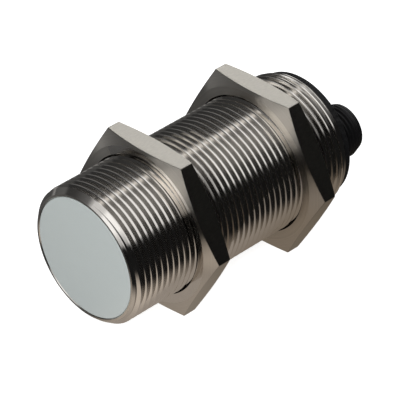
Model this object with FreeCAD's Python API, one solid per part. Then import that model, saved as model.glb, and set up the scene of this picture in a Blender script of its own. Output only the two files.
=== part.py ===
import FreeCAD, Part
import math
import os

# Capacitive proximity switch: threaded metal barrel, two lock nuts, plastic sensing face, plug end.
# Millimetres. The origin is the centre of the sensing face. The barrel runs along +Y to the plug,
# and +Z is up, square to the nuts' flats.

# Barrel: its thread is drawn as rings, with a ridge on every second turn
barrel_length = 60.0
barrel_r = 15.0
barrel_wall = 1.75
thread_pitch = 1.5
thread_depth = 0.7
ridge_pitches = 2
front_chamfer_length = 1.0
front_chamfer_depth = 0.9
rear_chamfer_length = 1.5
rear_chamfer_depth = 0.8

# Lock nuts: the wall is measured at the middle of a flat, over the thread
nut_wall = 3.0
nut_thickness = 5.0
nut_face_inset = 0.7
nut_chamfer_angle = 16.0
nut_mouth_depth = 0.45
front_nut_y = 18.3
nut_spacing_pitches = 20

# Sensing cap: a cup whose floor is the sensing face
face_thickness = 1.2
cap_depth = 13.0
cap_wall = 1.8
cap_edge_chamfer = 0.15

# Electrodes behind the face and the shield round them
electrode_thickness = 0.3
guard_edge_gap = 1.0
guard_width = 2.2
guard_gap = 1.2
shield_wall = 0.3
holder_thickness = 2.5
rail_length = 3.0
rail_height = 2.0
rail_inset = 2.0
electrode_pin_r = 0.4

# Seal rings: round rubber section in a square groove
ring_section_r = 0.5
front_ring_y = 9.0
rear_ring_inset = 4.0
groove_side_gap = 0.1

# Rear end cap and its plug collar
end_ring_step = 0.2
end_ring_thickness = 1.5
end_ring_chamfer = 0.15
spigot_length = 8.0
spigot_wall = 1.8
end_web = 3.0
plug_offset = 3.4
plug_angle = -45.0
plug_r = 6.0
plug_length = 10.5
plug_chamfer_length = 2.0
plug_chamfer_depth = 0.65
plug_wall = 1.75
socket_depth = 8.5
key_width = 0.9
key_height = 0.55
key_length = 7.0
key_root = 0.5

# Contact carrier and its four pins
carrier_flange_step = 1.15
carrier_flange_thickness = 1.5
contact_edge_distance = 0.75
contact_count = 4
contact_r = 0.5
contact_shoulder_step = 0.3
contact_shoulder_length = 1.2
contact_tip_recess = 1.3

# Boards
board_thickness = 1.0
board_side_gap = 1.0
plug_board_thickness = 1.0
plug_board_gap = 0.45
header_pin_size = 0.5
header_pin_pitch = 1.5
header_pin_count = 5
header_edge_gap = 1.0
header_overlap = 3.0
header_tail = 0.6

# Components on the main board: width along X, length along Y. An inset runs from the board's front
# end to the component's centre, a rear inset from its rear end, and an edge distance from its side.
chip_width = 5.0
chip_length = 4.0
chip_height = 1.5
oscillator_inset = 10.5
comparator_inset = 20.0
comparator_shift = 0.5
transistor_width = 6.6
transistor_length = 6.1
transistor_height = 2.3
transistor_edge = 7.0
transistor_rear_inset = 13.0
tantalum_width = 4.3
tantalum_length = 7.3
tantalum_height = 2.9
tantalum_edge = 4.5
tantalum_rear_inset = 18.0
diode_width = 3.6
diode_length = 4.5
diode_height = 2.3
diode_edge = 4.8
diode_rear_inset = 7.5
ceramic_width = 1.25
ceramic_length = 2.0
ceramic_height = 0.9
ceramic_edge = 3.5
ceramic_first_inset = 8.0
ceramic_pitch = 6.0
ceramic_rows = 4
resistor_width = 2.0
resistor_length = 1.25
resistor_height = 0.55
resistor_spacing = 4.0
resistor_first_inset = 10.0
resistor_pitch = 5.0
resistor_rows = 6

# Sensitivity trimmer, opposite the plug
trimmer_wall_gap = 0.9
trimmer_size = 6.0
trimmer_height = 4.5
trimmer_floor = 1.0
trimmer_screw_r = 1.5
trimmer_screw_recess = 0.3
trimmer_slot_width = 0.6
trimmer_slot_depth = 0.8
trimmer_ring_section_r = 0.4

# Indicator lamp and its window
lamp_angle = 45.0
lamp_wall_distance = 3.4
lamp_r = 1.5
lamp_rim_step = 0.25
lamp_rim_thickness = 0.6
lamp_height = 4.0
window_r = 1.5

# Clearances
running_gap = 0.05
seat_gap = 0.02
slot_gap = 0.02
screw_hole_gap = 0.2
lamp_gap = 0.3
cut_margin = 1.0

# Places worked out from the sizes above
bore_r = barrel_r - barrel_wall
nut_across_flats = 2 * (barrel_r + nut_wall)
nut_face_r = nut_across_flats / 2 - nut_face_inset
plug_in_r = bore_r - running_gap
cap_inner_r = plug_in_r - cap_wall
shield_outer_r = cap_inner_r - running_gap
shield_inner_r = shield_outer_r - shield_wall
holder_r = shield_inner_r - running_gap
guard_outer_r = cap_inner_r - guard_edge_gap
guard_inner_r = guard_outer_r - guard_width
electrode_r = guard_inner_r - guard_gap
electrode_back_y = face_thickness + electrode_thickness
holder_back_y = electrode_back_y + holder_thickness
end_ring_r = barrel_r - rear_chamfer_depth - end_ring_step
end_face_y = barrel_length + end_ring_thickness
web_y = end_face_y - end_web
spigot_y = barrel_length - spigot_length
spigot_inner_r = plug_in_r - spigot_wall
plug_board_y = spigot_y - plug_board_thickness
plug_board_r = bore_r - plug_board_gap
plug_x = plug_offset * math.cos(math.radians(plug_angle))
plug_z = plug_offset * math.sin(math.radians(plug_angle))
plug_tip_y = end_face_y + plug_length
socket_r = plug_r - plug_wall
carrier_face_y = plug_tip_y - socket_depth
carrier_back_y = web_y - carrier_flange_thickness
carrier_flange_r = socket_r + carrier_flange_step
contact_circle_r = socket_r - contact_edge_distance
contact_shoulder_r = contact_r + contact_shoulder_step
rear_nut_y = front_nut_y + nut_spacing_pitches * thread_pitch
trimmer_angle = plug_angle + 180.0
trimmer_distance = spigot_inner_r - trimmer_wall_gap - trimmer_size / 2
trimmer_x = trimmer_distance * math.cos(math.radians(trimmer_angle))
trimmer_z = trimmer_distance * math.sin(math.radians(trimmer_angle))
lamp_distance = spigot_inner_r - lamp_wall_distance
lamp_rim_r = lamp_r + lamp_rim_step
lamp_x = lamp_distance * math.cos(math.radians(lamp_angle))
lamp_z = lamp_distance * math.sin(math.radians(lamp_angle))
board_top = board_thickness / 2
board_side_x = holder_r - board_side_gap
along_y = FreeCAD.Vector(0, 1, 0)


def at(x, y, z):
    return FreeCAD.Vector(x, y, z)


def rod(radius, y_from, y_to, x=0.0, z=0.0):
    """A round bar along Y."""
    return Part.makeCylinder(radius, y_to - y_from, at(x, y_from, z), along_y)


def tube(outer_r, inner_r, y_from, y_to, x=0.0, z=0.0):
    return rod(outer_r, y_from, y_to, x, z).cut(rod(inner_r, y_from, y_to, x, z))


def turned(outline, x=0.0, z=0.0):
    """A solid turned about Y from an outline of (radius, y) points."""
    points = [at(x + radius, y, z) for radius, y in outline]
    face = Part.Face(Part.makePolygon(points + [points[0]]))
    return face.revolve(at(x, 0, z), along_y, 360)


def ring(centre_r, section_r, y, x=0.0, z=0.0):
    return Part.makeTorus(centre_r, section_r, at(x, y, z), along_y)


def block(x_from, x_to, y_from, y_to, z_from, z_to):
    return Part.makeBox(x_to - x_from, y_to - y_from, z_to - z_from, at(x_from, y_from, z_from))


def chip(x, y, size_x, size_y, height, above=True):
    """A component lying on the main board, centred on (x, y)."""
    low = board_top if above else -board_top - height
    return block(x - size_x / 2, x + size_x / 2, y - size_y / 2, y + size_y / 2, low, low + height)


# Metal parts

def make_barrel():
    chamfer_front_r = barrel_r - front_chamfer_depth
    chamfer_rear_r = barrel_r - rear_chamfer_depth
    thread_end_y = barrel_length - rear_chamfer_length
    ridge_spacing = ridge_pitches * thread_pitch
    ridge_count = int((thread_end_y - front_chamfer_length) / ridge_spacing)
    outline = [
        (bore_r, 0),
        (chamfer_front_r, 0),
        (barrel_r, front_chamfer_length),
    ]
    for k in range(ridge_count):
        ridge_y = front_chamfer_length + (k + 1) * ridge_spacing
        outline.append((barrel_r - thread_depth, ridge_y - ridge_spacing / 2))
        outline.append((barrel_r, ridge_y))
    outline += [
        (barrel_r, thread_end_y),
        (chamfer_rear_r, barrel_length),
        (bore_r, barrel_length),
    ]
    return turned(outline)


def make_nut(centre_y):
    corner_r = nut_across_flats / math.sqrt(3)
    front_y = centre_y - nut_thickness / 2
    back_y = centre_y + nut_thickness / 2
    corners = []
    for k in range(6):
        angle = math.radians(60 * k)
        corners.append(at(corner_r * math.cos(angle), front_y, corner_r * math.sin(angle)))
    hexagon = Part.Face(Part.makePolygon(corners + [corners[0]]))
    prism = hexagon.extrude(at(0, nut_thickness, 0))
    envelope_r = corner_r + cut_margin
    drop = (envelope_r - nut_face_r) * math.tan(math.radians(nut_chamfer_angle))
    nut_bore_r = barrel_r + running_gap
    mouth_r = nut_bore_r + nut_mouth_depth
    outline = [
        (nut_bore_r, front_y + nut_mouth_depth),
        (mouth_r, front_y),
        (nut_face_r, front_y),
        (envelope_r, front_y + drop),
        (envelope_r, back_y - drop),
        (nut_face_r, back_y),
        (mouth_r, back_y),
        (nut_bore_r, back_y - nut_mouth_depth),
    ]
    return prism.common(turned(outline))


# Seal rings sit in grooves of the two plug-in mouldings

def groove(y):
    floor_r = bore_r - 2 * seat_gap - 2 * ring_section_r
    half_width = ring_section_r + groove_side_gap
    return tube(bore_r, floor_r, y - half_width, y + half_width)


def make_seal_ring(y):
    return ring(bore_r - seat_gap - ring_section_r, ring_section_r, y)


# Sensing end

def make_sensing_cap():
    outline = [
        (0, 0),
        (plug_in_r - cap_edge_chamfer, 0),
        (plug_in_r, cap_edge_chamfer),
        (plug_in_r, cap_depth),
        (cap_inner_r, cap_depth),
        (cap_inner_r, face_thickness),
        (0, face_thickness),
    ]
    return turned(outline).cut(groove(front_ring_y))


def make_sensing_electrode():
    return rod(electrode_r, face_thickness, electrode_back_y)


def make_guard_electrode():
    return tube(guard_outer_r, guard_inner_r, face_thickness, electrode_back_y)


def make_electrode_pin():
    return rod(electrode_pin_r, electrode_back_y, holder_back_y)


def make_electrode_holder():
    body = rod(holder_r, electrode_back_y, holder_back_y)
    rail_side_x = board_side_x - rail_inset
    for side in (-1, 1):
        inner = board_top + slot_gap
        low = inner if side > 0 else -inner - rail_height
        rail = block(-rail_side_x, rail_side_x, holder_back_y, holder_back_y + rail_length,
                     low, low + rail_height)
        body = body.fuse(rail)
    return body.cut(make_electrode_pin()).removeSplitter()


def make_shield_cup():
    return tube(shield_outer_r, shield_inner_r, electrode_back_y, cap_depth)


# Boards and what is soldered to them

def make_circuit_board():
    return block(-board_side_x, board_side_x, holder_back_y, plug_board_y, -board_top, board_top)


def make_oscillator_chip():
    return chip(0, holder_back_y + oscillator_inset, chip_width, chip_length, chip_height)


def make_comparator_chip():
    y = holder_back_y + comparator_inset
    return chip(comparator_shift, y, chip_width, chip_length, chip_height)


def make_output_transistor():
    x = board_side_x - transistor_edge
    y = plug_board_y - transistor_rear_inset
    return chip(x, y, transistor_width, transistor_length, transistor_height)


def make_smoothing_capacitor():
    x = tantalum_edge - board_side_x
    y = plug_board_y - tantalum_rear_inset
    return chip(x, y, tantalum_width, tantalum_length, tantalum_height)


def make_suppressor_diode():
    x = diode_edge - board_side_x
    y = plug_board_y - diode_rear_inset
    return chip(x, y, diode_width, diode_length, diode_height)


def make_ceramic_capacitors():
    pieces = []
    x = board_side_x - ceramic_edge
    for k in range(ceramic_rows):
        y = holder_back_y + ceramic_first_inset + k * ceramic_pitch
        for side in (-1, 1):
            pieces.append(chip(side * x, y, ceramic_width, ceramic_length, ceramic_height, above=False))
    return Part.makeCompound(pieces)


def make_chip_resistors():
    pieces = []
    x = resistor_spacing / 2
    for k in range(resistor_rows):
        y = holder_back_y + resistor_first_inset + k * resistor_pitch
        for side in (-1, 1):
            pieces.append(chip(side * x, y, resistor_width, resistor_length, resistor_height, above=False))
    return Part.makeCompound(pieces)


def make_header_pins():
    pins = []
    for k in range(header_pin_count):
        x = header_edge_gap - board_side_x + k * header_pin_pitch
        pins.append(block(x, x + header_pin_size, plug_board_y - header_overlap, spigot_y + header_tail,
                          -board_top - header_pin_size, -board_top))
    return Part.makeCompound(pins)


def make_connector_board():
    board = rod(plug_board_r, plug_board_y, spigot_y)
    for x, z in contact_places():
        board = board.cut(rod(contact_r + seat_gap, plug_board_y, spigot_y, x, z))
    return board.cut(make_header_pins())


# Plug end

def contact_places():
    places = []
    for k in range(contact_count):
        angle = 2 * math.pi * k / contact_count
        x = plug_x + contact_circle_r * math.cos(angle)
        z = plug_z + contact_circle_r * math.sin(angle)
        places.append((x, z))
    return places


def make_contact_pin(x, z):
    tip_y = plug_tip_y - contact_tip_recess
    pin = rod(contact_r, plug_board_y, tip_y - contact_r, x, z)
    tip = Part.makeSphere(contact_r, at(x, tip_y - contact_r, z))
    shoulder = rod(contact_shoulder_r, carrier_back_y - contact_shoulder_length, carrier_back_y, x, z)
    return pin.fuse([tip, shoulder]).removeSplitter()


def make_contact_carrier():
    body = rod(socket_r - running_gap, carrier_back_y, carrier_face_y, plug_x, plug_z)
    flange = rod(carrier_flange_r, carrier_back_y, web_y, plug_x, plug_z)
    carrier = body.fuse(flange).removeSplitter()
    for x, z in contact_places():
        carrier = carrier.cut(rod(contact_r + seat_gap, carrier_back_y, carrier_face_y, x, z))
    return carrier


def make_plug_key():
    key = block(socket_r - key_height, socket_r + key_root, carrier_face_y, carrier_face_y + key_length,
                -key_width / 2, key_width / 2)
    key.rotate(at(0, 0, 0), along_y, -plug_angle)
    key.translate(at(plug_x, 0, plug_z))
    return key


def make_rear_end_cap():
    outline = [
        (spigot_inner_r, spigot_y),
        (plug_in_r, spigot_y),
        (plug_in_r, barrel_length),
        (end_ring_r, barrel_length),
        (end_ring_r, end_face_y - end_ring_chamfer),
        (end_ring_r - end_ring_chamfer, end_face_y),
        (0, end_face_y),
        (0, web_y),
        (spigot_inner_r, web_y),
    ]
    collar_outline = [
        (0, web_y),
        (plug_r, web_y),
        (plug_r, plug_tip_y - plug_chamfer_length),
        (plug_r - plug_chamfer_depth, plug_tip_y),
        (0, plug_tip_y),
    ]
    body = turned(outline).fuse(turned(collar_outline, plug_x, plug_z)).removeSplitter()
    body = body.cut(rod(socket_r, web_y, plug_tip_y, plug_x, plug_z))
    body = body.fuse(make_plug_key()).removeSplitter()
    body = body.cut(rod(trimmer_screw_r + screw_hole_gap, web_y, end_face_y, trimmer_x, trimmer_z))
    ring_seat_r = trimmer_screw_r + 2 * seat_gap + 2 * trimmer_ring_section_r
    ring_seat_y = web_y + 2 * trimmer_ring_section_r + seat_gap
    body = body.cut(rod(ring_seat_r, web_y, ring_seat_y, trimmer_x, trimmer_z))
    body = body.cut(rod(window_r + seat_gap, web_y, end_face_y, lamp_x, lamp_z))
    return body.cut(groove(spigot_y + rear_ring_inset))


def make_trimmer_body():
    half = trimmer_size / 2
    body = block(-half, half, spigot_y, spigot_y + trimmer_height, -half, half)
    body.rotate(at(0, 0, 0), along_y, -trimmer_angle)
    body.translate(at(trimmer_x, 0, trimmer_z))
    hole_y = spigot_y + trimmer_floor
    return body.cut(rod(trimmer_screw_r + running_gap, hole_y, spigot_y + trimmer_height,
                        trimmer_x, trimmer_z))


def make_trimmer_screw():
    tip_y = end_face_y - trimmer_screw_recess
    screw = rod(trimmer_screw_r, spigot_y + trimmer_floor + running_gap, tip_y, trimmer_x, trimmer_z)
    slot = block(trimmer_x - trimmer_screw_r, trimmer_x + trimmer_screw_r, tip_y - trimmer_slot_depth,
                 tip_y, trimmer_z - trimmer_slot_width / 2, trimmer_z + trimmer_slot_width / 2)
    return screw.cut(slot)


def make_trimmer_seal_ring():
    centre_r = trimmer_screw_r + seat_gap + trimmer_ring_section_r
    return ring(centre_r, trimmer_ring_section_r, web_y + trimmer_ring_section_r, trimmer_x, trimmer_z)


def make_indicator_lamp():
    dome_y = spigot_y + lamp_height - lamp_r
    stem = rod(lamp_r, spigot_y, dome_y, lamp_x, lamp_z)
    rim = rod(lamp_rim_r, spigot_y, spigot_y + lamp_rim_thickness, lamp_x, lamp_z)
    dome = Part.makeSphere(lamp_r, at(lamp_x, dome_y, lamp_z))
    return stem.fuse([rim, dome]).removeSplitter()


def make_lamp_window():
    return rod(window_r, spigot_y + lamp_height + lamp_gap, end_face_y, lamp_x, lamp_z)


# Potting: fills the barrel round the main board, and the shield cup in front of it

def make_potting_resin(embedded):
    fill = rod(shield_inner_r, holder_back_y, cap_depth).fuse(rod(bore_r, cap_depth, plug_board_y))
    for piece in embedded:
        fill = fill.cut(piece)
    return fill.removeSplitter()


def make_all():
    parts = {
        "threaded_barrel": make_barrel(),
        "front_lock_nut": make_nut(front_nut_y),
        "rear_lock_nut": make_nut(rear_nut_y),
        "sensing_cap": make_sensing_cap(),
        "front_seal_ring": make_seal_ring(front_ring_y),
        "sensing_electrode": make_sensing_electrode(),
        "guard_electrode": make_guard_electrode(),
        "electrode_pin": make_electrode_pin(),
        "shield_cup": make_shield_cup(),
        "connector_board": make_connector_board(),
        "rear_end_cap": make_rear_end_cap(),
        "rear_seal_ring": make_seal_ring(spigot_y + rear_ring_inset),
        "contact_carrier": make_contact_carrier(),
        "trimmer_body": make_trimmer_body(),
        "trimmer_screw": make_trimmer_screw(),
        "trimmer_seal_ring": make_trimmer_seal_ring(),
        "indicator_lamp": make_indicator_lamp(),
        "lamp_window": make_lamp_window(),
    }
    for k, (x, z) in enumerate(contact_places()):
        parts[f"contact_pin_{k + 1}"] = make_contact_pin(x, z)
    potted = {
        "electrode_holder": make_electrode_holder(),
        "circuit_board": make_circuit_board(),
        "oscillator_chip": make_oscillator_chip(),
        "comparator_chip": make_comparator_chip(),
        "output_transistor": make_output_transistor(),
        "smoothing_capacitor": make_smoothing_capacitor(),
        "suppressor_diode": make_suppressor_diode(),
        "ceramic_capacitors": make_ceramic_capacitors(),
        "chip_resistors": make_chip_resistors(),
        "header_pins": make_header_pins(),
    }
    parts.update(potted)
    parts["potting_resin"] = make_potting_resin(potted.values())
    return parts


os.makedirs("parts", exist_ok=True)
for name, shape in make_all().items():
    shape.exportStep(f"parts/{name}.step")
    print(f"{name}: {len(shape.Solids)} solid(s), {shape.Volume:.1f} mm3, valid {shape.isValid()}")
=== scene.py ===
import bpy
import math
from mathutils import Matrix, Vector


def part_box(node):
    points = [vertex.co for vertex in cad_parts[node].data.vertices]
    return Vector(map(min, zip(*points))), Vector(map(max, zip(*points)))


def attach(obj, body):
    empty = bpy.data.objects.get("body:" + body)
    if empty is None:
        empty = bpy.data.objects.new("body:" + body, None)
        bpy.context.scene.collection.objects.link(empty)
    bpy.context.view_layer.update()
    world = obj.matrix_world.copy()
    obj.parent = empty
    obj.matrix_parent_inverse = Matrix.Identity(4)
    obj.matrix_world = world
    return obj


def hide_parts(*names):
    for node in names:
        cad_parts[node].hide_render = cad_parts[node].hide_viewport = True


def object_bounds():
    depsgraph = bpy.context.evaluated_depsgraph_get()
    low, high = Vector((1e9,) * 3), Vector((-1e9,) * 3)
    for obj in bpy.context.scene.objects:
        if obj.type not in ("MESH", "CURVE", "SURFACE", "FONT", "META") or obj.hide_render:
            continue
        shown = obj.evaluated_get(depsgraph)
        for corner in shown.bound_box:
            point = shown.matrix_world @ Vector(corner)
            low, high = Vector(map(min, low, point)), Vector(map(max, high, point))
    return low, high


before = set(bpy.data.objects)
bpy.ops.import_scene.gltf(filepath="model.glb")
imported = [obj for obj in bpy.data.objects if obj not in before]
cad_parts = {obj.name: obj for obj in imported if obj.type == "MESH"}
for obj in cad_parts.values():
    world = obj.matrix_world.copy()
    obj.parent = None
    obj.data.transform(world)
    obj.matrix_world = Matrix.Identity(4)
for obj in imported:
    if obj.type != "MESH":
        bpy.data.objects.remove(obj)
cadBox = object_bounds()
mm = 0.001
merge = {"seam": 0.001, "hexagon": 0.002, "thread": 0.0005}  # millimetres between vertices that become one
turnSteps = 128
print("frame loaded:", len(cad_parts), "nodes")


# Working as by hand: select, add a modifier, apply it

def pickNothing():
    if bpy.context.object and bpy.context.object.mode != "OBJECT":
        bpy.ops.object.mode_set(mode="OBJECT")
    bpy.ops.object.select_all(action="DESELECT")


def pick(piece):
    pickNothing()
    piece.select_set(True)
    bpy.context.view_layer.objects.active = piece


def applyModifier(piece, kind, **settings):
    pick(piece)
    modifier = piece.modifiers.new(kind.title(), kind)
    for name, value in settings.items():
        setattr(modifier, name, value)
    bpy.ops.object.modifier_apply(modifier=modifier.name)


def applyPlace(piece):
    pick(piece)
    bpy.ops.object.transform_apply(location=True, rotation=True, scale=True)


def cutWith(piece, tool, operation):
    applyModifier(piece, "BOOLEAN", object=tool, operation=operation, solver="EXACT")
    bpy.data.objects.remove(tool, do_unlink=True)


def cleanUp(piece, distance):
    pick(piece)
    bpy.ops.object.mode_set(mode="EDIT")
    bpy.ops.mesh.select_all(action="SELECT")
    bpy.ops.mesh.remove_doubles(threshold=distance * mm)
    bpy.ops.mesh.normals_make_consistent(inside=False)
    bpy.ops.object.mode_set(mode="OBJECT")


def smoothSides(piece, angle):
    pick(piece)
    bpy.ops.object.shade_smooth_by_angle(angle=math.radians(angle))


def drawOutline(name, points, closed=True):
    # a plane merged to one vertex, then extruded from point to point: (radius, y) in millimetres
    pickNothing()
    bpy.ops.mesh.primitive_plane_add(size=mm)
    piece = bpy.context.object
    piece.name = name
    bpy.ops.object.mode_set(mode="EDIT")
    bpy.ops.mesh.select_all(action="SELECT")
    bpy.ops.mesh.merge(type="CENTER")
    bpy.ops.transform.translate(value=Vector((points[0][0], points[0][1], 0)) * mm)
    path = points + points[:1] if closed else points
    for here, there in zip(path, path[1:]):
        step = Vector((there[0] - here[0], there[1] - here[1], 0)) * mm
        bpy.ops.mesh.extrude_region_move(TRANSFORM_OT_translate={"value": step})
    if closed:
        bpy.ops.mesh.select_all(action="SELECT")
        bpy.ops.mesh.remove_doubles(threshold=merge["seam"] * mm)
    bpy.ops.object.mode_set(mode="OBJECT")
    return piece


def sweep(piece, centre, rise, turns, steps):
    # the outline goes round the Y axis and may rise along it, then the axis moves to its (x, z) centre
    applyModifier(piece, "SCREW", axis="Y", angle=math.tau, screw_offset=rise, iterations=turns,
                  steps=steps, render_steps=steps, use_merge_vertices=True,
                  merge_threshold=merge["seam"] * mm)
    piece.location = (centre[0] * mm, 0, centre[1] * mm)
    applyPlace(piece)


def turnOnLathe(name, points, centre=(0, 0), closed=True):
    piece = drawOutline(name, points, closed)
    sweep(piece, centre, rise=0, turns=1, steps=turnSteps)
    cleanUp(piece, merge["seam"])
    return piece


# Threads: flat crest, flat root and soft edges are shares of the pitch, flanks are in degrees,
# the rod's overrun and how near to a cut a vertex lies on it are in millimetres

threadShape = {"crest": 0.18, "root": 0.225, "round": 0.012, "flank": 60, "spareTurns": 2, "overrun": 1,
               "onCut": 0.0001}


def threadDepth(pitch):
    flank = (1 - threadShape["crest"] - threadShape["root"]) / 2 * pitch
    return flank * math.tan(math.radians(threadShape["flank"]))


def threadProfile(major, minor, pitch):
    # one pitch of the profile from root to root: (radius, share of the pitch)
    soft = threadShape["round"]
    slope = math.tan(math.radians(threadShape["flank"])) * pitch * soft / 2
    foot, top = threadShape["root"] / 2, 0.5 - threadShape["crest"] / 2
    rise = [(minor, 0), (minor, foot - soft / 2), (minor + slope, foot + soft / 2),
            (major - slope, top - soft / 2), (major, top + soft / 2)]
    return rise + [(radius, 1 - share) for radius, share in reversed(rise)]


def cutThread(name, radius, pitch, crestY, lowY, highY, grow=0.0, steps=turnSteps, centre=(0, 0)):
    # a threaded rod that runs past both ends: the profile is swept up a right-handed helix, then cut flat
    major, minor = radius + grow, radius - threadDepth(pitch) + grow
    lowY, highY = lowY - threadShape["overrun"], highY + threadShape["overrun"]
    turnsBefore = math.ceil((crestY - lowY) / pitch) + threadShape["spareTurns"]
    turns = math.ceil((highY - lowY) / pitch) + 2 * threadShape["spareTurns"] + 1
    start = crestY - pitch * (turnsBefore + 0.5)
    points = [(r, start + share * pitch) for r, share in threadProfile(major, minor, pitch)]
    rod = drawOutline(name, points, closed=False)
    sweep(rod, centre, pitch * mm, turns, steps)
    bpy.ops.object.mode_set(mode="EDIT")
    for y, side in ((lowY, "clear_inner"), (highY, "clear_outer")):
        bpy.ops.mesh.select_all(action="SELECT")
        bpy.ops.mesh.remove_doubles(threshold=merge["seam"] * mm)
        bpy.ops.mesh.select_all(action="SELECT")
        bpy.ops.mesh.bisect(plane_co=(0, y * mm, 0), plane_no=(0, 1, 0), use_fill=True,
                            threshold=threadShape["onCut"] * mm, **{side: True})
    bpy.ops.mesh.select_all(action="SELECT")
    bpy.ops.mesh.normals_make_consistent(inside=False)
    bpy.ops.object.mode_set(mode="OBJECT")
    return rod


# Materials

def newMaterial(name, colour, roughness, metallic=0.0, **sockets):
    material = bpy.data.materials.new(name)
    material.use_nodes = True
    shader = principled(material)
    shader.inputs["Base Color"].default_value = (*colour, 1)
    shader.inputs["Roughness"].default_value = roughness
    shader.inputs["Metallic"].default_value = metallic
    for socket, value in sockets.items():
        shader.inputs[socket.replace("_", " ")].default_value = value
    return material


def principled(material):
    return material.node_tree.nodes["Principled BSDF"]


def addNode(material, kind, **settings):
    node = material.node_tree.nodes.new(kind)
    for name, value in settings.items():
        setattr(node, name, value)
    return node


def link(material, fromSocket, toSocket):
    material.node_tree.links.new(fromSocket, toSocket)


def remap(material, socket, low=0.0, high=1.0, toLow=0.0, toHigh=1.0, kind="LINEAR"):
    node = addNode(material, "ShaderNodeMapRange", interpolation_type=kind)
    for name, value in (("From Min", low), ("From Max", high), ("To Min", toLow), ("To Max", toHigh)):
        node.inputs[name].default_value = value
    link(material, socket, node.inputs["Value"])
    return node.outputs["Result"]


def combine(material, operation, first, second):
    node = addNode(material, "ShaderNodeMath", operation=operation)
    link(material, first, node.inputs[0])
    link(material, second, node.inputs[1])
    return node.outputs[0]


def multiply(material, *sockets):
    product = sockets[0]
    for socket in sockets[1:]:
        product = combine(material, "MULTIPLY", product, socket)
    return product


def addTone(material, colour, noise, low, high):
    # the colour gets darker and lighter with the noise
    scaled = addNode(material, "ShaderNodeVectorMath", operation="SCALE")
    scaled.inputs[0].default_value = colour
    link(material, remap(material, noise, toLow=low, toHigh=high), scaled.inputs["Scale"])
    link(material, scaled.outputs["Vector"], principled(material).inputs["Base Color"])


def addBump(material, noise, strength, height):
    bump = addNode(material, "ShaderNodeBump")
    bump.inputs["Strength"].default_value = strength
    bump.inputs["Distance"].default_value = height * mm
    link(material, noise, bump.inputs["Height"])
    link(material, bump.outputs["Normal"], principled(material).inputs["Normal"])


def addGrain(material, look):
    # a fine noise on Object coordinates changes colour, roughness and height
    shader = principled(material)
    place = addNode(material, "ShaderNodeTexCoord")
    mapping = addNode(material, "ShaderNodeMapping")
    mapping.inputs["Scale"].default_value = look.get("stretch", (1, 1, 1))
    grain = addNode(material, "ShaderNodeTexNoise")
    grain.inputs["Scale"].default_value = look["scale"]
    grain.inputs["Detail"].default_value = look.get("detail", 3)
    link(material, place.outputs["Object"], mapping.inputs["Vector"])
    link(material, mapping.outputs["Vector"], grain.inputs["Vector"])
    noise = grain.outputs["Fac"]
    colour = shader.inputs["Base Color"].default_value[:3]
    addTone(material, colour, noise, 1 - look["tone"], 1 + look["tone"])
    base = shader.inputs["Roughness"].default_value
    gloss = remap(material, noise, toLow=base - look["gloss"], toHigh=base + look["gloss"])
    link(material, gloss, shader.inputs["Roughness"])
    addBump(material, noise, look["bump"], look.get("height", 0.02))
    return material


def addTurnedSheen(material):
    # highlights stretch as on metal turned round the Y axis
    shader = principled(material)
    shader.inputs["Anisotropic"].default_value = 1.0
    shader.inputs["Anisotropic Rotation"].default_value = 0.25
    tangent = addNode(material, "ShaderNodeTangent", direction_type="RADIAL", axis="Y")
    link(material, tangent.outputs["Tangent"], shader.inputs["Tangent"])


threadNickel = {"colour": (0.76, 0.73, 0.69), "roughness": 0.10,
                "grain": {"scale": 900, "stretch": (1, 6, 1), "tone": 0.05, "gloss": 0.02, "bump": 0.003}}


def makeThreadMetal():
    material = newMaterial("threadNickel", threadNickel["colour"], threadNickel["roughness"], 1.0)
    return addGrain(material, threadNickel["grain"])


# the ground flats: the faces' nickel made darker as painted shade; roughness, stretched highlights and grain
# are the ground finish
groundNickelShaded = {"colour": (0.60, 0.572, 0.515), "roughness": 0.30,
                "grain": {"scale": 3400, "stretch": (1, 0.3, 1), "detail": 6, "tone": 0.16, "gloss": 0.05,
                          "bump": 0.25, "height": 0.01}}


def makeNutFlatMetal():
    material = newMaterial("groundNickelShaded", groundNickelShaded["colour"], groundNickelShaded["roughness"], 1.0)
    addTurnedSheen(material)
    return addGrain(material, groundNickelShaded["grain"])


facedNickel = {"colour": (0.80, 0.76, 0.70), "roughness": 0.28, "rings": 4200, "detail": 4,
               "tone": (0.86, 1.12), "bump": 0.12, "height": 0.01}


def makeNutFaceMetal():
    # rings left by the lathe: tone and height follow the distance from the Y axis
    look = facedNickel
    material = newMaterial("facedNickel", look["colour"], look["roughness"], 1.0)
    addTurnedSheen(material)
    place = addNode(material, "ShaderNodeTexCoord")
    flat = addNode(material, "ShaderNodeMapping")
    flat.inputs["Scale"].default_value = (1, 0, 1)
    radius = addNode(material, "ShaderNodeVectorMath", operation="LENGTH")
    link(material, place.outputs["Object"], flat.inputs["Vector"])
    link(material, flat.outputs["Vector"], radius.inputs[0])
    rings = addNode(material, "ShaderNodeTexNoise", noise_dimensions="1D")
    rings.inputs["Scale"].default_value = look["rings"]
    rings.inputs["Detail"].default_value = look["detail"]
    link(material, radius.outputs["Value"], rings.inputs["W"])
    addTone(material, look["colour"], rings.outputs["Fac"], *look["tone"])
    addBump(material, rings.outputs["Fac"], look["bump"], look["height"])
    return material


def makePlastic(name, colour, roughness, scale=1500, tone=0.03, bump=0.08, gleam=0.5):
    material = newMaterial(name, colour, roughness, Specular_IOR_Level=gleam)
    return addGrain(material, {"scale": scale, "tone": tone, "gloss": 0.04, "bump": bump})


def makeMetal(name, colour, roughness):
    material = newMaterial(name, colour, roughness, 1.0)
    return addGrain(material, {"scale": 1200, "tone": 0.05, "gloss": 0.06, "bump": 0.05})


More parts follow.
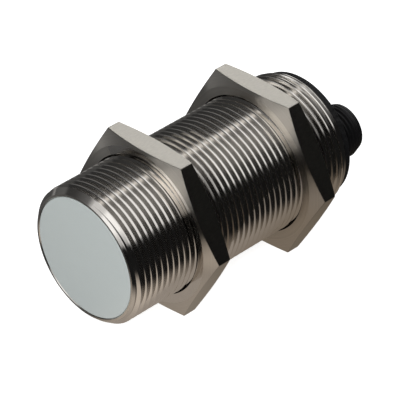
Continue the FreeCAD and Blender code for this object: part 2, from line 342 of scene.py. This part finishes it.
threadMetal = makeThreadMetal()
nutFlatMetal = makeNutFlatMetal()
nutFaceMetal = makeNutFaceMetal()
facePlastic = makePlastic("faceWhitePlastic", (0.47, 0.51, 0.50), 0.42, scale=700, tone=0.012, bump=0.03)
blackPlastic = makePlastic("blackMoulding", (0.006, 0.006, 0.0065), 0.42, scale=2200, tone=0.2, bump=0.12,
                           gleam=0.25)
print("materials made")


def setMaterials(piece, *materials):
    piece.data.materials.clear()
    for material in materials:
        piece.data.materials.append(material)


def seat(piece, body, node):
    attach(piece, body)
    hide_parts(node)


# Threaded barrel: tube with a front chamfer, a rear taper and a plain chamfered band at the rear

barrelShape = {"thread": 15.0, "pitch": 1.5, "crestY": 1.365, "bore": 13.25, "rim": 13.8, "rimSlope": 0.95,
               "rearRadius": 14.2, "rearLength": 1.5, "rearDepth": 0.8, "bandLength": 3.1, "bandRise": 0.38,
               "bandRadius": 14.86, "bandEnd": 14.48, "bandLip": 0.4, "edge": 0.12, "margin": 0.35,
               "endTilt": 0.95, "smooth": 15}


def makeBarrel():
    shape = barrelShape
    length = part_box("threaded_barrel")[1].y / mm
    over = shape["thread"] + shape["margin"]
    frontRise = (over - shape["rim"]) / shape["rimSlope"]
    rearRise = (over - shape["rearRadius"]) * shape["rearLength"] / shape["rearDepth"]
    edge = shape["edge"]
    outline = [(shape["bore"], edge), (shape["bore"] + edge, 0), (shape["rim"], 0), (over, frontRise),
               (over, length - rearRise), (shape["rearRadius"], length), (shape["bore"], length)]
    wall = turnOnLathe("threadedBarrel", outline)
    rod = cutThread("threadRod", shape["thread"], shape["pitch"], shape["crestY"], 0, length)
    cutWith(wall, rod, "INTERSECT")
    bandStart = length - shape["bandLength"]
    band = [(shape["bore"], bandStart), (shape["rearRadius"], bandStart),
            (shape["bandRadius"], bandStart + shape["bandRise"]),
            (shape["bandEnd"], length - shape["bandLip"]), (shape["rearRadius"], length),
            (shape["bore"], length)]
    cutWith(wall, turnOnLathe("rearBand", band), "UNION")
    cleanUp(wall, merge["thread"])
    setMaterials(wall, threadMetal, nutFaceMetal)
    for polygon in wall.data.polygons:
        if abs(polygon.normal.y) > shape["endTilt"]:
            polygon.material_index = 1
    smoothSides(wall, shape["smooth"])
    seat(wall, "sensor_body", "threaded_barrel")
    return wall


# Lock nuts: hexagons with rounded-off corners, tapped with the barrel's thread, countersunk on both sides

nutShape = {"faceRadius": 17.3, "chamferAngle": 16.0, "mouth": 15.4, "relief": 0.9, "clearance": 0.06,
            "edge": 0.1, "edgeAngle": 40, "margin": 1.0, "tolerance": 0.01, "mouthLead": 0.5,
            "mouthDepth": 0.3, "faceTilt": 0.9, "wall": 0.8, "smooth": 12}


def makeHexagon(name, low, high):
    # corners lie at the sides, and flats at top and bottom, as far apart as in the frame
    corner = (high.z - low.z) / mm / math.sqrt(3)
    pickNothing()
    bpy.ops.mesh.primitive_cylinder_add(vertices=6, radius=corner * mm, depth=high.y - low.y,
                                        location=(0, (low.y + high.y) / 2, 0), rotation=(math.pi / 2, 0, 0))
    nut = bpy.context.object
    nut.name = name
    applyPlace(nut)
    top = max(vertex.co.z for vertex in nut.data.vertices)
    if abs(top - corner * mm) < nutShape["tolerance"] * mm:
        bpy.ops.object.mode_set(mode="EDIT")
        bpy.ops.mesh.select_all(action="SELECT")
        bpy.ops.transform.rotate(value=math.radians(30), orient_axis="Y", center_override=(0, 0, 0))
        bpy.ops.object.mode_set(mode="OBJECT")
    return nut, corner


def roundCorners(nut, corner, front, back):
    shape = nutShape
    over = corner + shape["margin"]
    drop = (over - shape["faceRadius"]) * math.tan(math.radians(shape["chamferAngle"]))
    lens = [(0, front), (shape["faceRadius"], front), (over, front + drop), (over, back - drop),
            (shape["faceRadius"], back), (0, back)]
    cutWith(nut, turnOnLathe("lens", lens, closed=False), "INTERSECT")
    cleanUp(nut, merge["hexagon"])
    applyModifier(nut, "BEVEL", width=shape["edge"] * mm, segments=2, limit_method="ANGLE",
                  angle_limit=math.radians(shape["edgeAngle"]), use_clamp_overlap=True)


def tapNut(nut, front, back):
    shape = nutShape
    rod = cutThread("tap", barrelShape["thread"], barrelShape["pitch"], barrelShape["crestY"],
                    front, back, grow=shape["clearance"])
    cutWith(nut, rod, "DIFFERENCE")
    root = barrelShape["thread"] - threadDepth(barrelShape["pitch"])
    deep = shape["mouth"] - root + shape["mouthDepth"]
    for faceY, side in ((front, 1), (back, -1)):
        outside = faceY - side * shape["mouthLead"]
        floorY = faceY + side * shape["relief"]
        mouth = [(0, outside), (shape["mouth"], outside), (shape["mouth"], floorY),
                 (shape["mouth"] - deep, floorY + side * deep), (0, floorY + side * deep)]
        cutWith(nut, turnOnLathe("countersink", mouth, closed=False), "DIFFERENCE")
    cleanUp(nut, merge["thread"])


def finishNut(nut):
    # material 0 stays on the thread, 1 goes on the ground flats and 2 on the turned faces
    shape = nutShape
    setMaterials(nut, threadMetal, nutFlatMetal, nutFaceMetal)
    for polygon in nut.data.polygons:
        radius = math.hypot(polygon.center.x, polygon.center.z) / mm
        if abs(polygon.normal.y) > shape["faceTilt"] and radius > barrelShape["thread"]:
            polygon.material_index = 2
        elif radius > barrelShape["thread"] + shape["wall"]:
            polygon.material_index = 1
    smoothSides(nut, shape["smooth"])


def makeNut(name, node, body):
    low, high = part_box(node)
    front, back = low.y / mm, high.y / mm
    nut, corner = makeHexagon(name, low, high)
    roundCorners(nut, corner, front, back)
    tapNut(nut, front, back)
    finishNut(nut)
    seat(nut, body, node)
    return nut


# Sensing face: a plastic cup with a rounded rim

cupShape = {"round": 0.22, "roundSteps": 6, "wall": 1.8, "floor": 1.2, "smooth": 40}


def makeSensingCap():
    shape = cupShape
    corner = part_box("sensing_cap")[1]
    radius, depth = corner.x / mm, corner.y / mm
    rim = shape["round"]
    outline = [(0, 0)]
    for k in range(shape["roundSteps"] + 1):
        angle = math.radians(90 / shape["roundSteps"] * k)
        outline.append((radius - rim + rim * math.sin(angle), rim - rim * math.cos(angle)))
    outline += [(radius, depth), (radius - shape["wall"], depth), (radius - shape["wall"], shape["floor"]),
                (0, shape["floor"])]
    cup = turnOnLathe("sensingFace", outline, closed=False)
    setMaterials(cup, facePlastic)
    smoothSides(cup, shape["smooth"])
    seat(cup, "sensor_body", "sensing_cap")
    return cup


# Rear end cap with the plug collar: a merged copy of the moulding, threaded outside

plugShape = {"centre": (2.404, -2.404), "radius": 6.0, "clearance": 0.02, "pitch": 1.0, "from": 62.3,
             "crestAt": 0.5, "over": 6.6, "past": 0.5, "steps": 96, "smooth": 28}


def makeRearCap():
    shape = plugShape
    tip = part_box("rear_end_cap")[1].y / mm
    start, end = shape["from"], tip + shape["past"]
    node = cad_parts["rear_end_cap"]
    piece = node.copy()
    piece.data = node.data.copy()
    piece.name = "rearEndCap"
    piece.parent = None
    for key in list(piece.keys()):
        del piece[key]
    bpy.context.scene.collection.objects.link(piece)
    cleanUp(piece, merge["seam"])
    sleeve = [(0, start), (shape["over"], start), (shape["over"], end), (0, end)]
    ring = turnOnLathe("threadRing", sleeve, centre=shape["centre"], closed=False)
    rod = cutThread("plugRod", shape["radius"] + shape["clearance"], shape["pitch"],
                    start + shape["crestAt"], start, tip, steps=shape["steps"], centre=shape["centre"])
    cutWith(ring, rod, "DIFFERENCE")
    cutWith(piece, ring, "DIFFERENCE")
    cleanUp(piece, merge["thread"])
    setMaterials(piece, blackPlastic)
    smoothSides(piece, shape["smooth"])
    seat(piece, "sensor_body", "rear_end_cap")
    return piece


barrelPiece = makeBarrel()
print("barrel:", len(barrelPiece.data.polygons), "faces")
frontNut = makeNut("frontLockNut", "front_lock_nut", "front_nut")
rearNut = makeNut("rearLockNut", "rear_lock_nut", "rear_nut")
print("nuts:", len(frontNut.data.polygons), "and", len(rearNut.data.polygons), "faces")
sensingFace = makeSensingCap()
print("sensing face:", len(sensingFace.data.polygons), "faces")
rearCap = makeRearCap()
print("rear cap:", len(rearCap.data.polygons), "faces")


# Finishes of the pieces that keep their CAD shape

finishes = {
    "sealRubber": (makePlastic, (0.02, 0.02, 0.02), 0.6,
                   ["front_seal_ring", "rear_seal_ring", "trimmer_seal_ring"]),
    "copperFoil": (makeMetal, (0.78, 0.40, 0.26), 0.3,
                   ["sensing_electrode", "guard_electrode", "shield_cup"]),
    "goldContact": (makeMetal, (0.86, 0.64, 0.30), 0.2,
                    ["contact_pin_1", "contact_pin_2", "contact_pin_3", "contact_pin_4"]),
    "holderPlastic": (makePlastic, (0.55, 0.53, 0.46), 0.5, ["electrode_holder"]),
    "boardLaminate": (makePlastic, (0.02, 0.16, 0.06), 0.4, ["circuit_board", "connector_board"]),
    "chipEpoxy": (makePlastic, (0.015, 0.015, 0.017), 0.5,
                  ["oscillator_chip", "comparator_chip", "output_transistor", "suppressor_diode"]),
    "chipResistor": (makePlastic, (0.05, 0.05, 0.055), 0.35, ["chip_resistors"]),
    "tantalumCase": (makePlastic, (0.72, 0.42, 0.06), 0.4, ["smoothing_capacitor"]),
    "ceramicCase": (makePlastic, (0.42, 0.30, 0.18), 0.45, ["ceramic_capacitors"]),
    "tinnedPin": (makeMetal, (0.72, 0.71, 0.69), 0.3, ["header_pins", "electrode_pin"]),
    "trimmerCase": (makePlastic, (0.02, 0.07, 0.30), 0.45, ["trimmer_body"]),
    "trimmerBrass": (makeMetal, (0.75, 0.56, 0.28), 0.28, ["trimmer_screw"]),
    "lampResin": (makePlastic, (0.60, 0.38, 0.03), 0.2, ["indicator_lamp"]),
    "windowPlastic": (makePlastic, (0.55, 0.42, 0.12), 0.15, ["lamp_window"]),
    "pottingResin": (makePlastic, (0.10, 0.09, 0.08), 0.5, ["potting_resin"]),
    "carrierPlastic": (makePlastic, (0.014, 0.014, 0.015), 0.45, ["contact_carrier"]),
}

for name, (maker, colour, roughness, nodes) in finishes.items():
    material = maker(name, colour, roughness)
    for node in nodes:
        setMaterials(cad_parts[node], material)
print("finishes given")


# Camera at the photograph's viewing angle

view = {"azimuth": 46.233, "elevation": 35.348, "roll": -1.096, "distance": 545.362, "right": 5.831,
        "up": 5.101, "target": (0, 40, 0), "lens": 239.873, "sensor": 36.0, "clip": (0.01, 20)}


def makeCamera():
    a, e, roll = (math.radians(view[key]) for key in ("azimuth", "elevation", "roll"))
    forward = Vector((-math.sin(a) * math.cos(e), math.cos(a) * math.cos(e), -math.sin(e)))
    level = Vector((math.cos(a), math.sin(a), 0))
    upright = level.cross(forward)
    right = math.cos(roll) * level + math.sin(roll) * upright
    up = -math.sin(roll) * level + math.cos(roll) * upright
    place = Vector(view["target"]) - forward * view["distance"] - right * view["right"] - up * view["up"]
    data = bpy.data.cameras.new("camera")
    camera = bpy.data.objects.new("camera", data)
    bpy.context.scene.collection.objects.link(camera)
    data.lens = view["lens"]
    data.sensor_width = view["sensor"]
    data.clip_start, data.clip_end = view["clip"]
    turn = Matrix((right, up, -forward)).transposed().to_4x4()
    camera.matrix_world = Matrix.Translation(place * mm) @ turn
    bpy.context.scene.camera = camera


makeCamera()
print("camera placed")


# Stage: white floor, light tent, table top and nets for the reflections, one lamp

def stagePiece(name, materialName):
    # the primitive that was added last gets its names and an empty material
    piece = bpy.context.object
    piece.name = name
    material = bpy.data.materials.new(materialName)
    material.use_nodes = True
    material.node_tree.nodes.clear()
    setMaterials(piece, material)
    return piece, material, addNode(material, "ShaderNodeOutputMaterial")


def glossyOnly(piece):
    piece.visible_camera = False
    piece.visible_diffuse = False
    piece.visible_transmission = False
    piece.visible_volume_scatter = False
    piece.visible_shadow = False


def seenBy(material, *kinds):
    # 1 for the named kinds of ray, else 0
    rays = addNode(material, "ShaderNodeLightPath")
    seen = rays.outputs[kinds[0]]
    for kind in kinds[1:]:
        seen = combine(material, "MAXIMUM", seen, rays.outputs[kind])
    return seen


def objectAxes(material, unit=False):
    # X, Y and Z of the Object coordinates, or of their direction
    place = addNode(material, "ShaderNodeTexCoord").outputs["Object"]
    if unit:
        direction = addNode(material, "ShaderNodeVectorMath", operation="NORMALIZE")
        link(material, place, direction.inputs[0])
        place = direction.outputs["Vector"]
    axes = addNode(material, "ShaderNodeSeparateXYZ")
    link(material, place, axes.inputs[0])
    return axes.outputs


floorLook = {"colour": (0.86, 0.86, 0.86), "lift": 0.75, "size": 6.0, "below": 0.01}


def makeFloor():
    pickNothing()
    bpy.ops.mesh.primitive_plane_add(size=floorLook["size"],
                                     location=(0, 0, cadBox[0].z - floorLook["below"] * mm))
    floor, material, output = stagePiece("floor", "floorWhite")
    diffuse = addNode(material, "ShaderNodeBsdfDiffuse")
    diffuse.inputs["Color"].default_value = (*floorLook["colour"], 1)
    white = addNode(material, "ShaderNodeEmission")
    lift = remap(material, seenBy(material, "Is Camera Ray", "Is Glossy Ray"), toHigh=floorLook["lift"])
    both = addNode(material, "ShaderNodeAddShader")
    link(material, lift, white.inputs["Strength"])
    link(material, diffuse.outputs[0], both.inputs[0])
    link(material, white.outputs[0], both.inputs[1])
    link(material, both.outputs[0], output.inputs["Surface"])


# Light tent: belts from front to rear, each up to a Y part of the direction, with its brightness
# round the Y axis as (degrees from +X over the top, level)

underFront = [(-180, .03), (-170, .22), (-158, .36), (-148, .28), (-138, .12), (-60, .16), (-42, .15),
              (-30, .05), (-10, .005), (22, .01)]
darkSide = [(-180, .12), (-60, .20), (-40, .008), (27, .01), (36, .03)]
dimTop = [(45, .05), (55, .16), (75, .28), (86, .26), (95, .19), (99, .24)]
ridgeGlow = [(101.5, .42), (104.5, 1.1), (107, 1.1), (109, .65), (112, .22)]
brightTop = [(-180, .12), (-150, .25), (-60, .20), (-38, .008), (17, .01), (22, .05), (27, .30), (31, .88),
             (50, 1.02), (88, 1.10), (99, .95), (104, 1.1), (108, 1.0), (112, .7)]
darkLeft = [(115, .05), (150, .05), (165, .10), (180, .12)]
dimLeft = [(127, .14), (150, .05), (180, .03)]

tent = {
    "radius": 3.0, "peak": 6.0, "softness": 0.03,
    "belts": [
        {"until": -0.90, "stops": [(-180, .05), (-60, .05), (0, .05), (60, .15), (140, .15), (180, .05)]},
        {"until": -0.50, "stops": underFront + [(30, .50), (45, .75), (60, 1.2), (92, 1.2), (99, .75),
                                                (117, .72)] + dimLeft},
        {"until": -0.30, "stops": underFront + [(30, .50), (45, .90), (60, 1.5), (85, 1.8), (100, 1.2),
                                                (117, 1.0)] + dimLeft},
        {"until": -0.06, "stops": [(-180, .10), (-60, .20), (-40, .0), (24, .0), (42, .10), (52, 1.1),
                                   (98, 1.1), (106, .10), (125, .15), (150, .15), (180, .10)]},
        {"until": 0.20, "stops": darkSide + [(42, .05), (52, 1.1), (92, 1.1), (97, .20)]
            + ridgeGlow + darkLeft},
        {"until": 0.30, "stops": darkSide + dimTop + ridgeGlow + darkLeft},
        {"until": 0.44, "stops": darkSide + dimTop + ridgeGlow + [(117, .10), (121, 2.75), (136, 2.75),
                                                                  (141, .20), (180, .12)]},
        {"until": 0.50, "stops": darkSide + dimTop + ridgeGlow + [(117, .10), (180, .12)]},
        {"until": 0.63, "stops": brightTop + [(116, .30), (120, .16), (128, .13), (155, .18), (180, .12)]},
        {"until": 0.70, "stops": brightTop + [(126, .3), (131, 2.5), (152, 2.5), (157, .30), (180, .30)]},
        {"until": 2.0, "stops": [(-180, .30), (-150, .20), (-60, .12), (-40, .005), (26, .01), (36, .05),
                                 (60, .13), (80, .20), (100, .24), (112, .50), (122, .65), (135, .42),
                                 (150, .85), (165, 1.25), (180, .80)]},
    ],
}


def traceBelt(material, turn, stops):
    # straight lines between the stops, as shares of the full turn and of the peak level
    curve = addNode(material, "ShaderNodeFloatCurve")
    points = curve.mapping.curves[0].points
    while len(points) < len(stops):
        points.new(0.5, 0.5)
    for point, (degrees, bright) in zip(points, stops):
        point.location = ((degrees + 180) / 360, bright / tent["peak"])
        point.handle_type = "VECTOR"
    curve.mapping.update()
    link(material, turn, curve.inputs["Value"])
    return curve.outputs[0]


def makeTent():
    pickNothing()
    bpy.ops.mesh.primitive_uv_sphere_add(segments=48, ring_count=24, radius=tent["radius"])
    shell, material, output = stagePiece("lightTent", "tentLight")
    axes = objectAxes(material, unit=True)
    angle = combine(material, "ARCTAN2", axes["Z"], axes["X"])
    turn = remap(material, angle, -math.pi, math.pi)
    first = tent["belts"][0]
    level, edge = traceBelt(material, turn, first["stops"]), first["until"]
    for belt in tent["belts"][1:]:
        mix = addNode(material, "ShaderNodeMix", data_type="FLOAT")
        link(material, remap(material, axes["Y"], edge - tent["softness"], edge + tent["softness"],
                             kind="SMOOTHSTEP"), mix.inputs[0])
        link(material, level, mix.inputs[2])
        link(material, traceBelt(material, turn, belt["stops"]), mix.inputs[3])
        level, edge = mix.outputs[0], belt["until"]
    light = addNode(material, "ShaderNodeEmission")
    link(material, remap(material, level, toHigh=tent["peak"]), light.inputs["Strength"])
    link(material, light.outputs[0], output.inputs["Surface"])
    glossyOnly(shell)


# The table top as metal sees it, in millimetres: warm under the object and browner towards the rear,
# grey to the left, else dark

table = {"size": 5990, "x": (-6, 37), "xFade": (8, 22), "y": (-48, 110), "yFade": (26, 60),
         "front": (0.60, 0.53, 0.46), "near": (0.35, 0.308, 0.270), "rear": (0.23, 0.192, 0.155),
         "frontTurn": (-9, 0), "rearTurn": (14, 36),
         "grey": (0.07, 0.30), "greyX": (-38, -85), "greyFrom": (-62, -48), "greyTo": (0, -22),
         "right": (0, -10), "rightShare": 0.15}


def makeTable():
    pickNothing()
    bpy.ops.mesh.primitive_plane_add(size=table["size"] * mm, location=(0, 0, cadBox[0].z))
    piece, material, output = stagePiece("tableReflection", "tableReflection")
    axes = objectAxes(material)

    def ramp(axis, start, end, low=0.0, kind="LINEAR"):
        return remap(material, axes[axis], start * mm, end * mm, low, kind=kind)

    (left, right), (leftFade, rightFade) = table["x"], table["xFade"]
    (front, rear), (frontFade, rearFade) = table["y"], table["yFade"]
    level = multiply(material, ramp("X", right, right - rightFade, kind="SMOOTHSTEP"),
                     ramp("X", left, left + leftFade, kind="SMOOTHSTEP"),
                     ramp("Y", front, front + frontFade, kind="SMOOTHSTEP"),
                     ramp("Y", rear, rear - rearFade, kind="SMOOTHSTEP"))

    def blend(share, first, second):
        node = addNode(material, "ShaderNodeMix", data_type="RGBA")
        link(material, share, node.inputs[0])
        for socket, colour in ((node.inputs[6], first), (node.inputs[7], second)):
            if isinstance(colour, tuple):
                socket.default_value = (*colour, 1)
            else:
                link(material, colour, socket)
        return node.outputs[2]

    warm = blend(ramp("Y", *table["frontTurn"]), table["front"], table["near"])
    warm = blend(ramp("Y", *table["rearTurn"]), warm, table["rear"])
    patch = multiply(material, ramp("X", *table["greyX"]), ramp("Y", *table["greyFrom"]),
                     ramp("Y", *table["greyTo"]))
    grey = remap(material, patch, toLow=table["grey"][0], toHigh=table["grey"][1])
    side = multiply(material, ramp("X", *table["right"], table["rightShare"]), grey)
    light = addNode(material, "ShaderNodeEmission")
    link(material, blend(level, side, warm), light.inputs["Color"])
    link(material, light.outputs[0], output.inputs["Surface"])
    glossyOnly(piece)


# Grey nets, seen only in reflections, that paint shade on what the first thread turns behind each nut
# reflect, where the nut shades them; in millimetres and in degrees from +X over the top

net = {"radius": 22.0, "sides": 96, "shift": 3.6, "full": 4.5, "long": 8.5, "dark": 0.82, "rise": (25, 35),
       "fall": (86, 48)}


def makeNet(name, node):
    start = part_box(node)[1].y / mm + net["shift"]
    end = start + net["long"]
    pickNothing()
    bpy.ops.mesh.primitive_cylinder_add(vertices=net["sides"], radius=net["radius"] * mm,
                                        depth=(end - start) * mm, end_fill_type="NOTHING",
                                        location=(0, (start + end) / 2 * mm, 0), rotation=(math.pi / 2, 0, 0))
    applyPlace(bpy.context.object)
    piece, material, output = stagePiece(name, "reflectionShade")
    axes = objectAxes(material)
    angle = combine(material, "ARCTAN2", axes["Z"], axes["X"])
    shade = multiply(material, remap(material, angle, *(math.radians(degrees) for degrees in net["rise"])),
                     remap(material, angle, *(math.radians(degrees) for degrees in net["fall"])),
                     remap(material, axes["Y"], end * mm, (start + net["full"]) * mm))
    # a see-through sheet that darkens only reflections: painted shade
    reflectionShade = addNode(material, "ShaderNodeBsdfTransparent")
    link(material, remap(material, shade, toLow=1.0, toHigh=1 - net["dark"]), reflectionShade.inputs["Color"])
    link(material, reflectionShade.outputs[0], output.inputs["Surface"])
    glossyOnly(piece)


lamp = {"place": (0.55, -0.60, 0.60), "size": 0.5, "power": 5.0}


def makeLamp():
    data = bpy.data.lights.new("keyLamp", "AREA")
    data.energy = lamp["power"]
    data.size = lamp["size"]
    light = bpy.data.objects.new("keyLamp", data)
    light.location = lamp["place"]
    light.rotation_euler = Vector(lamp["place"]).to_track_quat("Z", "Y").to_euler()
    light.visible_glossy = False
    bpy.context.scene.collection.objects.link(light)


world = {"open": 0.62}


def makeWorld():
    # white to the camera and in reflections, a plain light on the object
    surround = bpy.data.worlds.new("world")
    surround.use_nodes = True
    bpy.context.scene.world = surround
    background = surround.node_tree.nodes["Background"]
    background.inputs["Color"].default_value = (1, 1, 1, 1)
    seen = seenBy(surround, "Is Camera Ray", "Is Glossy Ray", "Is Transmission Ray")
    link(surround, remap(surround, seen, toLow=world["open"]), background.inputs["Strength"])


makeFloor()
makeTent()
makeTable()
makeNet("frontNet", "front_lock_nut")
makeNet("rearNet", "rear_lock_nut")
makeLamp()
makeWorld()
bpy.context.scene.view_settings.view_transform = "Standard"
print("stage set")
